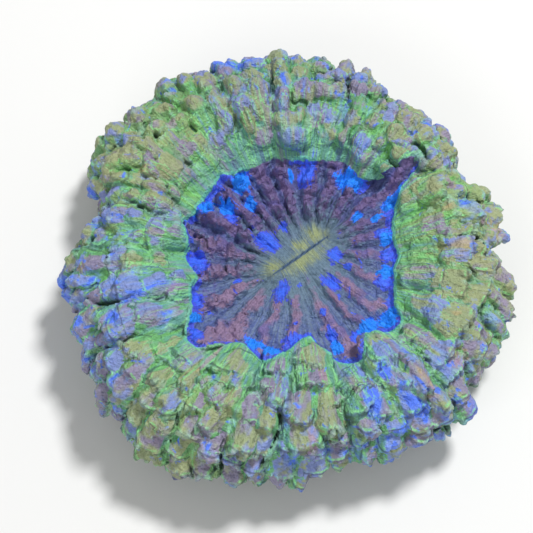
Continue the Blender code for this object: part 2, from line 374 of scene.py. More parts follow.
def value_noise(points, size, seed):
    """Smooth noise from -1 to 1 with features about size across."""
    scaled = points / size
    whole = np.floor(scaled)
    part = scaled - whole
    part = part * part * part * (part * (part * 6.0 - 15.0) + 10.0)
    whole = whole.astype(np.int64)
    total = np.zeros(len(points))
    for corner in range(8):
        dx, dy, dz = corner & 1, corner >> 1 & 1, corner >> 2 & 1
        weight = (part[:, 0] if dx else 1 - part[:, 0]) * (part[:, 1] if dy else 1 - part[:, 1])
        weight = weight * (part[:, 2] if dz else 1 - part[:, 2])
        total += weight * hashed(whole[:, 0] + dx, whole[:, 1] + dy, whole[:, 2] + dz, seed)
    return total


def plan_noise(x, y, size, seed):
    """The same at places in plan."""
    flat = np.stack([np.ravel(x), np.ravel(y), np.zeros(np.size(x))], 1)
    return value_noise(flat, size, seed).reshape(np.shape(x))


def plan_layers(x, y, layers):
    """Layers of noise at places in plan, given as (height, size, seed)."""
    return sum(height * plan_noise(x, y, size, seed) for height, size, seed in layers)


def spline_weights(places, size):
    """How much each knot, size apart, counts at each place along an axis."""
    scaled = (places - places[0]) / size
    knots = np.arange(-2, int(scaled[-1]) + 4)
    gap = np.abs(scaled[:, None] - knots[None, :])
    near = 2.0 / 3.0 - gap * gap + gap**3 / 2.0
    far = np.clip(2.0 - gap, 0.0, None) ** 3 / 6.0
    return np.where(gap < 1.0, near, far)


def grid_noise(axes, size, seed):
    """Smooth noise on the whole voxel grid, with features about size across and a spread of about 1."""
    weights = [spline_weights(axis, size) for axis in axes]
    knots = np.random.default_rng(seed).uniform(-1.0, 1.0, [w.shape[1] for w in weights])
    noise = np.tensordot(weights[0], knots, (1, 0))
    noise = np.tensordot(weights[1], noise, (1, 1)).transpose(1, 0, 2)
    noise = np.tensordot(noise, weights[2], (2, 1))
    return (noise / noise.std()).astype(np.float32)


def directions(bearing):
    """Away from the mouth at a bearing, sideways, and up."""
    angle = math.radians(bearing)
    away = np.array([math.sin(angle), math.cos(angle), 0.0])
    side = np.array([math.cos(angle), -math.sin(angle), 0.0])
    return away, side, np.array([0.0, 0.0, 1.0])


def turned(first, second, angle):
    """Two directions turned towards each other."""
    cosine, sine = math.cos(angle), math.sin(angle)
    return first * cosine + second * sine, second * cosine - first * sine


def spots(table, x, y):
    """Closeness to the nearest of some oval spots: 1 at its middle, 0 at its edge, -1 well outside."""
    nearest = np.full(np.shape(x), -1.0)
    for bearing, distance, half_length, half_width in table:
        away, side, _ = directions(bearing)
        along = x * away[0] + y * away[1] - distance
        across = x * side[0] + y * side[1]
        nearest = np.maximum(nearest, 1.0 - np.hypot(along / half_length, across / half_width))
    return nearest


# ------------ plan of the polyp
disc_edge = ring(DISC_EDGE, 1.0)
outline = ring(OUTLINE, 2.5)
scale_relief = ring(RELIEF, 8.0)
knobbly = ring(KNOBBLY, 8.0)


def elliptic(x, y):
    """Angle round the slit and distance from it, in the ellipses whose foci are the slit's ends."""
    turn = math.radians(SLIT_BEARING)
    u = (x * math.sin(turn) + y * math.cos(turn)) / SLIT_HALF_LENGTH
    v = (x * -math.cos(turn) + y * math.sin(turn)) / SLIT_HALF_LENGTH
    near, far = np.hypot(u - 1.0, v), np.hypot(u + 1.0, v)
    stretch = np.clip((near + far) / 2.0, 1.0, None)
    angle = np.arccos(np.clip((far - near) / 2.0, -1.0, 1.0)) * np.where(v < 0.0, -1.0, 1.0)
    return angle, np.sqrt(stretch * stretch - 1.0) * SLIT_HALF_LENGTH


def fan_place(angle, radius, stretch):
    """Places at which noise makes streaks that fan out from the slit."""
    return np.stack([FAN_RADIUS * np.cos(angle), FAN_RADIUS * np.sin(angle), stretch * radius], 1)


def flow_place(points):
    """Places at which noise makes streaks that run down the mantle."""
    turn = np.arctan2(points[:, 0], points[:, 1])
    down = 0.45 * np.hypot(points[:, 0], points[:, 1]) - 0.6 * points[:, 2]
    return np.stack([FLOW_RADIUS * np.sin(turn), FLOW_RADIUS * np.cos(turn), down], 1)


def plan_radius(bearing, nominal):
    """Distance from the mouth at a bearing, for a nominal radius outside the disc."""
    edge, outer = around(disc_edge, bearing), around(outline, bearing)
    return edge + (outer - edge) * (nominal - DISC_RADIUS) / (RIM_RADIUS - DISC_RADIUS)


def nominal_share(nominal):
    """A nominal radius as a share of the way from the disc to the rim."""
    return (nominal - DISC_RADIUS) / (RIM_RADIUS - DISC_RADIUS)


# ------------ folds of the mantle
def fold_number(valleys, bearing):
    """A bearing counted in folds."""
    edges = np.array([valleys[-1] - 360.0] + list(valleys) + [valleys[0] + 360.0])
    return np.interp(np.asarray(bearing) % 360.0, edges, np.arange(-1.0, len(valleys) + 1.0)) % len(valleys)


def fold_place(bearing, share):
    """Number of the fold and place across it from 0 to 1, for a share of the way from disc to rim."""
    count = len(VALLEYS)
    at_disc, at_rim = (fold_number([valley[end] for valley in VALLEYS], bearing) for end in (0, 1))
    slip = (at_rim - at_disc + count / 2.0) % count - count / 2.0
    place = (at_disc + slip * np.clip(share, 0.0, 1.0)) % count
    return np.floor(place).astype(int) % count, place % 1.0


def fold_span(fold, share):
    """Width of a fold in degrees, at a share of the way from disc to rim."""
    spans = [(np.roll(ends, -1) - ends) % 360.0 for ends in np.array(VALLEYS, float).T[:2]]
    share = np.clip(share, 0.0, 1.0)
    return spans[0][fold] * (1.0 - share) + spans[1][fold] * share


def valley_depth(fold, across):
    """How deep the nearer valley is at the rim, and how near it is, from 0 to 1."""
    depths = np.array([valley[2] for valley in VALLEYS])
    depth = np.where(across < 0.5, depths[fold], depths[(fold + 1) % len(VALLEYS)])
    return depth, np.abs(2.0 * across - 1.0)


def wandered(bearing, radius):
    """Bearings moved a little from place to place, so that the valleys wander."""
    angle = np.radians(bearing)
    aside = plan_layers(radius * np.sin(angle), radius * np.cos(angle), WANDER)
    return bearing + np.degrees(aside / np.maximum(radius, 25.0))


def groove(bearing, share, radius):
    """How far the mantle sinks between its folds."""
    fold, across = fold_place(wandered(bearing, radius), share)
    depth, nearness = valley_depth(fold, across)
    reach = 0.45 * ease(share, 0.0, 0.10) + 0.55 * ease(share, 0.10, 0.5)
    return FOLD_SHARE * depth * reach * (1.0 - np.sqrt(np.clip(1.0 - nearness**2.0, 0.0, 1.0)))


def crease(field, share):
    """Depth of the narrow crease along each valley, which is cut after the scales are on."""
    fold, across = fold_place(wandered(field.bearing, field.radius), share)
    depth, nearness = valley_depth(fold, across)
    lateral = (1.0 - nearness) / 2.0 * np.radians(fold_span(fold, share)) * field.radius
    reach = 0.3 * ease(share, 0.02, 0.10) + 0.7 * ease(share, 0.30, 0.55)
    here = ease(plan_noise(field.x, field.y, 8.0, 63) + 0.25 * (depth - 3.2), -0.4, 0.3)
    here = here * (1.0 - 0.2 * facing(field.x, field.y, 0.0, 0.7))
    width = CREASE_HALF_WIDTH * (0.6 + 0.25 * depth)
    return CREASE_SHARE * depth * reach * here * np.exp(-((lateral / width) ** 2))


# ------------ ridges of the disc
# How each ridge differs from the rest, from -1 to 1.
ridge_sharpness, ridge_height, tooth_shift = np.random.default_rng(RIDGE_SEED).uniform(
    -1.0, 1.0, (3, len(RIDGES)))


def ridge_number(angle):
    """An elliptic angle counted in ridges of the disc, whose crests are at the halves."""
    bearings = np.radians(np.array(RIDGES, float))
    marks = np.degrees(elliptic(DISC_RADIUS * np.sin(bearings), DISC_RADIUS * np.cos(bearings))[0]) % 360.0
    marks = np.sort(marks)
    edges = np.concatenate([[marks[-1] - 360.0], marks, [marks[0] + 360.0]])
    return np.interp(np.degrees(angle) % 360.0, edges, np.arange(-1.0, len(marks) + 1.0)) + 0.5


def disc_ridges(x, y):
    """The ridge of the disc at places in plan, how near its crest is, 0 to 1, and the elliptic place."""
    angle, away = elliptic(x, y)
    number = ridge_number(angle) + plan_layers(x, y, RIDGE_WANDER) * ease(away, 3.0, 12.0)
    ridge = np.floor(number).astype(int) % len(RIDGES)
    crest = np.sin(math.pi * (number % 1.0))
    return ridge, crest ** (0.8 + facing(x, y, -0.4, 0.8) + 0.35 * ridge_sharpness[ridge]), angle, away


def disc_relief(field):
    """Height of the oral disc for each column of voxels: ridges that fan out from the slit, with teeth."""
    x, y = field.x, field.y
    ridge, crest, angle, away = disc_ridges(x, y)
    share = field.radius / field.edge
    strength = around(ring(RIDGE_STRENGTH, 6.0), field.bearing) * (1.0 + 0.25 * ridge_height[ridge])
    step = away / TOOTH_SPACING + 3.0 * tooth_shift[ridge] + 0.7 * plan_noise(x, y, 2.6, 43)
    teeth = np.abs(np.sin(math.pi * step)) ** 0.7 * ease(crest, 0.20, 0.70)
    teeth += 0.5 * plan_noise(x, y, 1.7, 44)
    teeth += 2.2 * (np.abs(plan_noise(x, y, 2.8, 46)) - 0.3)
    teeth = around(ring(TEETH_STRENGTH, 6.0), field.bearing) * (teeth - 0.4) * ease(share, 0.30, 0.5)
    ridges = (1.0 - 0.5 * ease(share, 0.84, 1.02)) * strength * (crest - 0.45)
    height = DISC_HEIGHT + DISC_RISE * share**3 + LIP_RISE * np.exp(-((away / LIP_REACH) ** 2))
    height += LOBE_SLOPE * np.clip(field.radius - LOBE_START, 0.0, LOBE_REACH)
    height += TONGUE_HEIGHT * ease(spots(TONGUE, x, y), 0.0, 0.6)
    ribs = RIB_HEIGHT * np.sin(angle * RIBS + 2.0 * plan_noise(x, y, 5.0, 45))
    height += ease(away, 1.5, 13.0) * (ridges + teeth) + ribs
    return height - SLIT_DEPTH * np.exp(-((away / SLIT_HALF_WIDTH) ** 2))


# ------------ the distance field
def smooth_section(points, passes):
    """Cuts the corners of the section."""
    points = np.array(points, float)
    for _ in range(passes):
        cut = np.empty((2 * len(points) - 2, 2))
        cut[0::2] = points[:-1] * 0.75 + points[1:] * 0.25
        cut[1::2] = points[:-1] * 0.25 + points[1:] * 0.75
        points = np.vstack([points[:1], cut, points[-1:]])
    return points


def section_table(radii, heights):
    """Signed distance to the ring's section for every radius and height, negative inside."""
    corners = smooth_section(SECTION, 2)
    r, z = np.meshgrid(radii, heights, indexing="ij")
    nearest = np.full(r.shape, 1e9)
    inside = np.zeros(r.shape, bool)
    for (ax, az), (bx, bz) in zip(corners, np.roll(corners, -1, 0)):
        ex, ez = bx - ax, bz - az
        along = np.clip(((r - ax) * ex + (z - az) * ez) / (ex * ex + ez * ez + 1e-12), 0.0, 1.0)
        if ax > 0.0 or bx > 0.0:
            nearest = np.minimum(nearest, np.hypot(r - ax - along * ex, z - az - along * ez))
        crosses = (az > z) != (bz > z)
        inside ^= crosses & (r < ex * (z - az) / (ez + 1e-12) + ax)
    return np.where(inside, -nearest, nearest)


def looked_up(table, radius):
    """Reads the section's table at one radius for each column of voxels."""
    place = np.clip(radius / TABLE_STEP, 0, len(table) - 2)
    first = place.astype(int)
    part = (place - first)[..., None]
    return (table[first] * (1.0 - part) + table[first + 1] * part).astype(np.float32)


class Field:
    """The voxel grid, with the distance at each voxel and the scale nearest to it."""

    def __init__(self):
        low = np.array(cad_bounds[0]) / MM - GRID_MARGIN
        high = np.array(cad_bounds[1]) / MM + GRID_MARGIN
        middle = (low + high) / 2.0
        self.mouth = np.array([middle[0] + MOUTH_FROM_MIDDLE[0], middle[1] + MOUTH_FROM_MIDDLE[1], 0.0])
        self.low = low - self.mouth
        # The grid starts a little below the flat cut.
        self.low[2] = -1.5 * VOXEL
        self.shape = np.ceil((high - self.mouth - self.low) / VOXEL).astype(int)
        self.axes = [self.low[k] + VOXEL * np.arange(self.shape[k]) for k in range(3)]
        self.x, self.y = np.meshgrid(self.axes[0], self.axes[1], indexing="ij")
        self.radius, self.bearing = polar(self.x, self.y)
        self.edge = around(disc_edge, self.bearing)
        self.outer = around(outline, self.bearing)
        self.distance = None
        self.scale = np.full(self.shape, -1, np.int16)
        self.scale_distance = np.full(self.shape, FAR, np.float32)
        self.warp = [sum(height * grid_noise(self.axes, size, seed + k) for height, size, seed in WARP)
                     for k in range(3)]

    def above(self, low, high):
        """0 below a height, 1 above another, smooth between, for every voxel."""
        return ease(self.axes[2], low, high)[None, None, :]

    def mantle_share(self):
        """Share of the way from the disc's edge to the outline for each column of voxels."""
        return np.clip((self.radius - self.edge) / (self.outer - self.edge), 0.0, 1.2)

    def nominal_radius(self):
        """The section's radius for each column of voxels, over the top of the ring."""
        share = (self.radius - self.edge) / (self.outer - self.edge)
        beyond = np.where(share > 1.0, RIM_RADIUS + self.radius - self.outer,
                          DISC_RADIUS + share * (RIM_RADIUS - DISC_RADIUS))
        return np.where(self.radius < self.edge, self.radius * DISC_RADIUS / self.edge, beyond)

    def skirt_radius(self):
        """The same for the underside, whose column stays round."""
        share = np.clip((self.radius - COLUMN_RADIUS) / (self.outer - COLUMN_RADIUS), 0.0, None)
        return np.where(self.radius < COLUMN_RADIUS, self.radius,
                        COLUMN_RADIUS + share * (RIM_RADIUS - COLUMN_RADIUS))


def flesh_field():
    """The ring of flesh, its disc, skirt and column, before its scales."""
    field = Field()
    heights = field.axes[2][None, None, :]
    table = section_table(np.arange(0.0, TABLE_REACH, TABLE_STEP), field.axes[2])
    over = looked_up(table, field.nominal_radius())
    under = looked_up(table, field.skirt_radius())
    top = field.above(*TOP_FROM)
    distance = (under * (1.0 - top) + over * top).astype(np.float32)

    share = field.mantle_share()
    lumps = LUMP_HEIGHT * plan_noise(field.x, field.y, LUMP_SIZE, 64) * ease(share, 0.12, 0.4)
    sunk = groove(field.bearing, share, field.radius) + SCALE_BED * ease(share, 0.10, 0.32) + lumps
    distance += (sunk[..., None] * field.above(*FOLDS_FROM)).astype(np.float32)

    over_disc = (heights - disc_relief(field)[..., None]) * 0.8
    disc = np.maximum(over_disc, (field.radius - field.edge - DISC_OVERLAP)[..., None])
    distance = np.minimum(distance, np.maximum(disc, DISC_FLOOR - heights))

    costae = COSTA_DEPTH * np.sin(np.radians(field.bearing) * COSTAE)
    flare = COLUMN_FLARE * ease(COLUMN_FLARE_HEIGHT - heights, 0.0, COLUMN_FLARE_HEIGHT)
    column = (field.radius - COLUMN_RADIUS - costae)[..., None] - flare
    column = np.maximum(column, heights - COLUMN_TOP)
    field.distance = smaller(distance, column, COLUMN_BLEND).astype(np.float32)
    return field


def add_scale(field, scales, scale):
    """Joins one scale to the block of the field round it."""
    centre = scales.centre[scale]
    reach = scales.half[scale].max() * 1.15 + 2.0
    low = np.maximum(((centre - reach - field.low) / VOXEL).astype(int), 0)
    high = np.minimum(((centre + reach - field.low) / VOXEL).astype(int) + 1, field.shape)
    block = tuple(slice(a, b) for a, b in zip(low, high))
    offset = np.meshgrid(*(field.axes[k][low[k]:high[k]] - centre[k] for k in range(3)), indexing="ij")
    offset = [part + warp[block] for part, warp in zip(offset, field.warp)]
    distance = scales.distance(scale, *scales.place(scale, offset))
    distance = np.clip(distance, -3.0, 6.0).astype(np.float32)
    blend = SCALE_BLEND + BALL_BLEND * scales.roundness[scale]
    field.distance[block] = smaller(field.distance[block], distance, blend)
    closer = distance < field.scale_distance[block]
    field.scale[block][closer] = scale
    field.scale_distance[block][closer] = distance[closer]


def billow(field):
    """Swells the mantle into small lobes with creases between them, longer outwards than across."""
    reach = ease(field.mantle_share(), 0.0, 0.20) * (1.0 - 0.8 * facing(field.x, field.y, -0.2, 0.6))
    reach = reach[..., None] * field.above(*LOBES_FROM)
    near = (np.abs(field.distance) < 1.8) & (reach > 0.02)
    i, j, k = np.nonzero(near)
    points = np.stack([field.x[i, j], field.y[i, j], field.axes[2][k]], 1)
    flow = flow_place(points)
    layers = ((0.6, points, 5.4, 74), (0.8, flow, 4.2, 71), (0.6, points, 2.6, 73), (0.4, flow, 1.8, 72))
    lobes = sum(height * (np.abs(value_noise(place, size, seed)) - 0.3)
                for height, place, size, seed in layers)
    field.distance[near] -= (lobes * reach[near]).astype(np.float32)


def fill_pits(field):
    """Fills the narrow pits left between scales."""
    softened = np.clip(field.distance, -PIT_SIZE, PIT_SIZE)
    reach = max(1, round(0.5 * PIT_SIZE / VOXEL))
    for axis in (0, 0, 1, 1, 2, 2):
        softened = sum(np.roll(softened, step, axis) for step in range(-reach, reach + 1)) / (2 * reach + 1)
    depth = (PIT_DEPTH + KNOB_PITS * around(knobbly, field.bearing))[..., None]
    field.distance = np.minimum(field.distance, softened + depth).astype(np.float32)


def cut_creases(field):
    """Cuts the creases between folds, less where filled pits have left the field shallow."""
    steepness = np.sqrt(sum(slope * slope for slope in np.gradient(field.distance, VOXEL)))
    cut = crease(field, field.mantle_share())[..., None] * field.above(*CREASES_FROM)
    field.distance += (cut * np.clip(steepness, 0.0, 1.0)).astype(np.float32)


# ------------ scales
def section_walk():
    """Points along the section from the disc's edge over the crest and under, with distances walked."""
    points = smooth_section(SECTION[SECTION_WALKED], 2)
    steps = np.hypot(*np.diff(points, axis=0).T)
    return points, np.concatenate([[0.0], np.cumsum(steps)])


WALK_POINTS, WALK = section_walk()


def walked_to(walked):
    """Nominal radius and height at a distance walked."""
    return np.array([np.interp(walked, WALK, WALK_POINTS[:, k]) for k in (0, 1)])


def section_frame(walked):
    """The section's normal and its direction at a distance walked."""
    along = walked_to(walked + 1.2) - walked_to(walked - 1.2)
    along /= np.hypot(*along)
    return np.array([-along[1], along[0]]), along


class Scales:
    """The scales and nipples of the mantle: the places and shapes of all of them, in arrays."""

    def __init__(self):
        self.rows = []

    def add(self, bearing, walked, half, tilt, yaw, rise, roundness, jagged=1.0, nipple=False, roll=0.0):
        """Puts a scale on the mantle, its outer end lifted by tilt so that it overhangs the next."""
        nominal, height = walked_to(walked)
        normal, along = section_frame(walked)
        away, side, up = directions(bearing)
        out = away * normal[0] + up * normal[1]
        forward = away * along[0] + up * along[1]
        radius = plan_radius(bearing, nominal)
        beside = bearing + math.degrees(1.0 / radius) * np.array([-1.0, 0.0, 1.0])
        before, here, beyond = groove(beside, nominal_share(nominal), np.full(3, radius))
        centre = away * radius + up * height + out * (rise - GROOVE_FOLLOWED * here)
        side, out = turned(side, -out, -math.atan((beyond - before) / 2.0) * GROOVE_FOLLOWED)
        forward, side = turned(forward, side, math.radians(yaw))
        forward, out = turned(forward, -out, math.radians(tilt))
        side, out = turned(side, out, math.radians(roll))
        self.rows.append((centre, (forward, side, out), half, roundness, jagged, nipple))

    def settle(self, rng):
        """Turns the rows into arrays, once all are there."""
        columns = [np.array(column) for column in zip(*self.rows)]
        self.centre, self.frame, self.half, self.roundness, self.jagged, self.nipple = columns
        self.phase = rng.uniform(0.0, 2.0 * math.pi, (len(self.rows), 4))
        self.own = rng.uniform(0.0, 1.0, (len(self.rows), 4))

    def place(self, scale, offset):
        """Where an offset from a scale's centre lies along it, across it and out of it."""
        return [sum(self.frame[scale, k, m] * offset[m] for m in range(3)) for k in range(3)]

    def reach(self, scale, u, v):
        """Share of the way from a scale's middle to its edge, for one scale or one for each place."""
        taper = 1.0 + TAPER * np.clip(u / self.half[scale, 0], -1.0, 1.0)
        plan = np.abs(u / self.half[scale, 0]) ** SQUARENESS
        plan = plan + np.abs(v / (self.half[scale, 1] * taper)) ** SQUARENESS
        return plan ** (1.0 / SQUARENESS)

    def jagged_reach(self, scale, u, v):
        """The same for one scale, with the small teeth of its edge."""
        length, width, _ = self.half[scale]
        angle = np.arctan2(v / width, u / length)
        waves = [size * np.cos(count * angle + phase)
                 for size, count, phase in zip(EDGE_TEETH, (3.0, 6.0, 10.0), self.phase[scale])]
        teeth = waves[0] + waves[1] + waves[2] * ease(np.cos(angle), -0.3, 0.5)
        return self.reach(scale, u, v) / (1.0 + self.jagged[scale] * teeth)

    def distance(self, scale, u, v, w):
        """Signed distance to a scale: a domed plate with a jagged edge, or the round finger of a nipple."""
        length, width, thick = self.half[scale]
        finger = FLUTE_SIZE * (0.7 + 0.9 * self.own[scale, 3])
        lobes = np.abs(np.cos(math.pi * v / finger + self.phase[scale, 3] + 0.12 * u)) ** 0.8 - 0.6
        flutes = lobes * ease(u / length, -0.2, 0.8) * self.jagged[scale]
        plan = self.jagged_reach(scale, u - SCALLOP * flutes, v)
        beside = np.hypot(u, v) * (1.0 - 1.0 / np.maximum(plan, 0.05))
        ball = self.roundness[scale]
        dome = 1.0 - PLATE_DOME * (1.0 - ball) * np.minimum(np.abs(v / width), 1.3) ** 2.0
        dome -= BALL_DOME * ball * np.minimum(plan, 1.25) ** 2.2
        above = w - thick * dome - FLUTE_DEPTH * flutes
        below = -w - (thick if self.nipple[scale] else SCALE_DEPTH)
        return larger(larger(beside, above, SCALE_ROUNDING * (1.0 + 1.5 * ball)), below, 0.5)


def is_bare(bearing, row):
    """Whether the smooth skirt shows in a row of scales at a bearing."""
    return any(abs((bearing - place + 180.0) % 360.0 - 180.0) < width and row >= len(SCALE_ROWS) - left_out
               for place, width, left_out in BARE_SKIRT)


def grow_row(scales, rng, fold, row, fold_shift):
    """One fold's scales in one row, side by side and every other one further out."""
    walked, length, thick, wanted, tilt = SCALE_ROWS[row]
    nominal = walked_to(walked)[0]
    share = nominal_share(nominal)
    inner, outer, _ = VALLEYS[fold]
    span = float(fold_span(fold, share))
    start = inner + (outer - inner) * share
    middle = start + span / 2.0
    if is_bare(middle, row):
        return
    width = math.radians(span) * plan_radius(middle, nominal)
    boulder, relief = float(around(knobbly, middle)), float(around(scale_relief, middle))
    columns = max(1, round(width / (wanted * (1.0 - 0.14 * boulder))))
    room = (around(outline, middle) - around(disc_edge, middle)) / (RIM_RADIUS - DISC_RADIUS)
    length = length * float(np.clip(room, 0.55, 1.1)) * (1.2 - 0.45 * boulder)
    for column in range(columns):
        shift = (0.08 if (row + column) % 2 else -0.08) if columns > 1 else rng.uniform(-0.05, 0.05)
        bearing = start + span * (0.02 + 0.96 * (column + 0.5 + shift) / columns)
        further = (column % 2 - 0.5) * STAGGER * (columns > 1)
        place = walked + fold_shift + rng.uniform(*SHIFTS) + further
        size = rng.uniform(*SIZES)
        half = (length * size, width / columns * 0.54 * rng.uniform(*WIDTHS),
                (thick + 0.5 + 1.1 * boulder) * size * relief)
        lean = (tilt * (1.2 - 0.8 * boulder) + rng.uniform(*TILTS)) * relief
        scales.add(bearing, place, half, lean, rng.uniform(*YAWS), rise=rng.uniform(*RISES),
                   roundness=0.08 + boulder * 0.62 * rng.uniform(0.7, 1.2), jagged=1.2 - 0.4 * boulder,
                   roll=10.0 * (1.0 - boulder) + rng.uniform(*ROLLS))


def scatter_scale(scales, rng):
    """One small scale anywhere on the mantle."""
    size = rng.uniform(*SCALELET_SIZES)
    half = (size, size * rng.uniform(0.7, 1.2), size * 0.6)
    bearing = rng.uniform(0.0, 360.0)
    boulder = float(around(knobbly, bearing))
    nearest, farthest = SCALELETS_WALKED
    walked = nearest + (farthest - nearest) * rng.uniform() ** 0.8
    tilt = rng.uniform(*SCALELET_TILTS) * (1.0 - 0.6 * boulder)
    scales.add(bearing, walked, half, tilt, rng.uniform(*SCALELET_YAWS), rise=rng.uniform(*SCALELET_RISES),
               roundness=0.2 + 0.7 * boulder)


def grown_scales():
    """Scales in rows along every fold, small ones between them, and the nipples at the rim."""
    scales = Scales()
    for fold in range(len(VALLEYS)):
        rng = np.random.default_rng((SCALE_SEED, fold))
        fold_shift = rng.uniform(*FOLD_SHIFTS)
        for row in range(len(SCALE_ROWS)):
            grow_row(scales, rng, fold, row, fold_shift)
    rng = np.random.default_rng(SCALE_SEED)
    for _ in range(SCALELETS):
        scatter_scale(scales, rng)
    for bearing, walked, length, radius in NIPPLES:
        scales.add(bearing, walked, (length, radius, radius * 0.9), NIPPLE_TILT, 0.0, rise=NIPPLE_RISE,
                   roundness=1.0, jagged=0.0, nipple=True)
    scales.settle(rng)
    return scales


# ------------ mesh
def sampled(values, field, points):
    """Reads a grid of values at points, evenly between voxels."""
    place = np.clip((points - field.low) / VOXEL, 0, np.array(field.shape) - 1.001)
    first = place.astype(int)
    part = place - first
    total = np.zeros(len(points))
    for corner in range(8):
        step = np.array([corner & 1, corner >> 1 & 1, corner >> 2 & 1])
        weight = np.prod(np.where(step, part, 1.0 - part), axis=1)
        i, j, k = (first + step).T
        total += weight * values[i, j, k]
    return total


def without_crumbs(points, quads):
    """Leaves out every part of a mesh that isn't joined to the largest."""
    label = np.arange(len(points))
    ends = np.concatenate([quads[:, [0, 1]], quads[:, [1, 2]], quads[:, [2, 3]], quads[:, [3, 0]]])
    settled = False
    while not settled:
        lower = np.minimum(label[ends[:, 0]], label[ends[:, 1]])
        before = label.copy()
        np.minimum.at(label, ends[:, 0], lower)
        np.minimum.at(label, ends[:, 1], lower)
        label = label[label]
        settled = np.array_equal(before, label)
    kept = label == np.bincount(label).argmax()
    renumbered = np.cumsum(kept) - 1
    return points[kept], renumbered[quads[kept[quads[:, 0]]]]


def meshed(field):
    """The field's surface as a mesh of quads, in millimetres about the mouth."""
    volume = openvdb.FloatGrid(background=3.0)
    volume.copyFromArray(np.clip(field.distance, -3.0, 3.0))
    points, quads = without_crumbs(*volume.convertToQuads(0.0))
    mesh = bpy.data.meshes.new("polyp_flesh")
    mesh.from_pydata((points * VOXEL + field.low).tolist(), [], quads.tolist())
    mesh.update()
    return mesh


def coordinates(mesh, kind="co"):
    """The places of a mesh's points, or their normals, as rows."""
    found = np.empty(len(mesh.vertices) * 3, np.float32)
    mesh.vertices.foreach_get(kind, found)
    return found.reshape(-1, 3).astype(float)


def move_points(mesh, points):
    """Puts the points of a mesh at new places."""
    mesh.vertices.foreach_set("co", points.astype(np.float32).ravel())
    mesh.update()


def wrinkle(mesh):
    """Lumps, striations and grain of the flesh, too fine for the voxels to carry as scales."""
    points, normals = coordinates(mesh), coordinates(mesh, "normal")
    radius, bearing = polar(points[:, 0], points[:, 1])
    edge = around(disc_edge, bearing)
    share = (radius - edge) / (around(outline, bearing) - edge)
    fan = fan_place(elliptic(points[:, 0], points[:, 1])[0], radius, 0.10)

    folded = 1.0 - np.abs(value_noise(points, 3.2, 21))
    crumpled = 1.0 - np.abs(value_noise(points, 1.9, 25))
    lumps = 0.10 - 0.24 * folded**8.0 - 0.28 * crumpled**5.0 + 0.16 * value_noise(points, 1.5, 22)
    lumps += 0.12 * value_noise(fan, 1.2, 24)
    grain = 0.10 * value_noise(points, 1.1, 23)
    curtain = 0.34 * value_noise(fan, 1.5, 51) + 0.16 * value_noise(fan, 0.8, 52)

    raised = ease(points[:, 2], *WRINKLES_FROM)
    mantle = ease(share, 0.16, 0.36) * raised
    inner_wall = ease(share, -0.02, 0.06) * (1.0 - 0.7 * ease(share, 0.16, 0.36)) * raised
    smooth = (1.0 - mantle) * ease(points[:, 2], 1.0, 3.0)
    points = points + normals * (mantle * lumps + smooth * grain + inner_wall * curtain)[:, None]
    points[:, 2] = np.maximum(points[:, 2], 0.0)
    move_points(mesh, points)


def thinned(mesh):
    """The mesh as an object, with its triangles brought down to the number wanted."""
    piece = bpy.data.objects.new("polyp_flesh", mesh)
    bpy.context.scene.collection.objects.link(piece)
    triangles = sum(len(polygon.vertices) - 2 for polygon in mesh.polygons)
    fewer = piece.modifiers.new("fewer", "DECIMATE")
    fewer.ratio = min(1.0, TRIANGLES / triangles)
    graph = bpy.context.evaluated_depsgraph_get()
    piece.data = bpy.data.meshes.new_from_object(piece.evaluated_get(graph))
    piece.modifiers.clear()
    piece.data.name = "polyp_flesh"
    piece.data.shade_smooth()
    return piece


def store(piece, name, values):
    """Keeps a number or a vector for each point of the mesh, under a name that the material reads."""
    kind, field = ("FLOAT", "value") if values.ndim == 1 else ("FLOAT_VECTOR", "vector")
    layer = piece.data.attributes.new(name, kind, "POINT")
    layer.data.foreach_set(field, values.astype(np.float32).ravel())


def painted_by_scale(field, scales, points):
    """What the material needs to know of the scale that each point is on, by name."""
    place = np.clip(np.round((points - field.low) / VOXEL).astype(int), 0, field.shape - 1)
    scale = field.scale[tuple(place.T)]
    on_scale = (scale >= 0) & (field.scale_distance[tuple(place.T)] < 0.9)
    offset = points - scales.centre[scale]
    u, v = (np.einsum("ij,ij->i", scales.frame[scale, k], offset) for k in (0, 1))
    own = np.where(on_scale[:, None], scales.own[scale], 0.5)
    return {
        "to_edge": np.where(on_scale, scales.reach(scale, u, v), 1.2),
        "stripe": np.where(on_scale, np.abs(v) / scales.half[scale, 1], 1.0),
        "own_cap": own[:, 0], "own_hue": own[:, 1], "own_blue": own[:, 2],
    }


def painted_by_opening(field, points, normals):
    """How much open space there is over each point, and how sharp an edge it is on, by name."""
    def clearance(reach):
        return sampled(field.distance, field, points + reach * normals) / abs(reach)

    opening = sum(weight * np.clip(clearance(reach), 0.0, 1.0) for reach, weight in OPENINGS)
    return {"open": opening, "sharp": np.clip(1.0 + clearance(-OPENINGS[0][0]), 0.0, 1.0)}


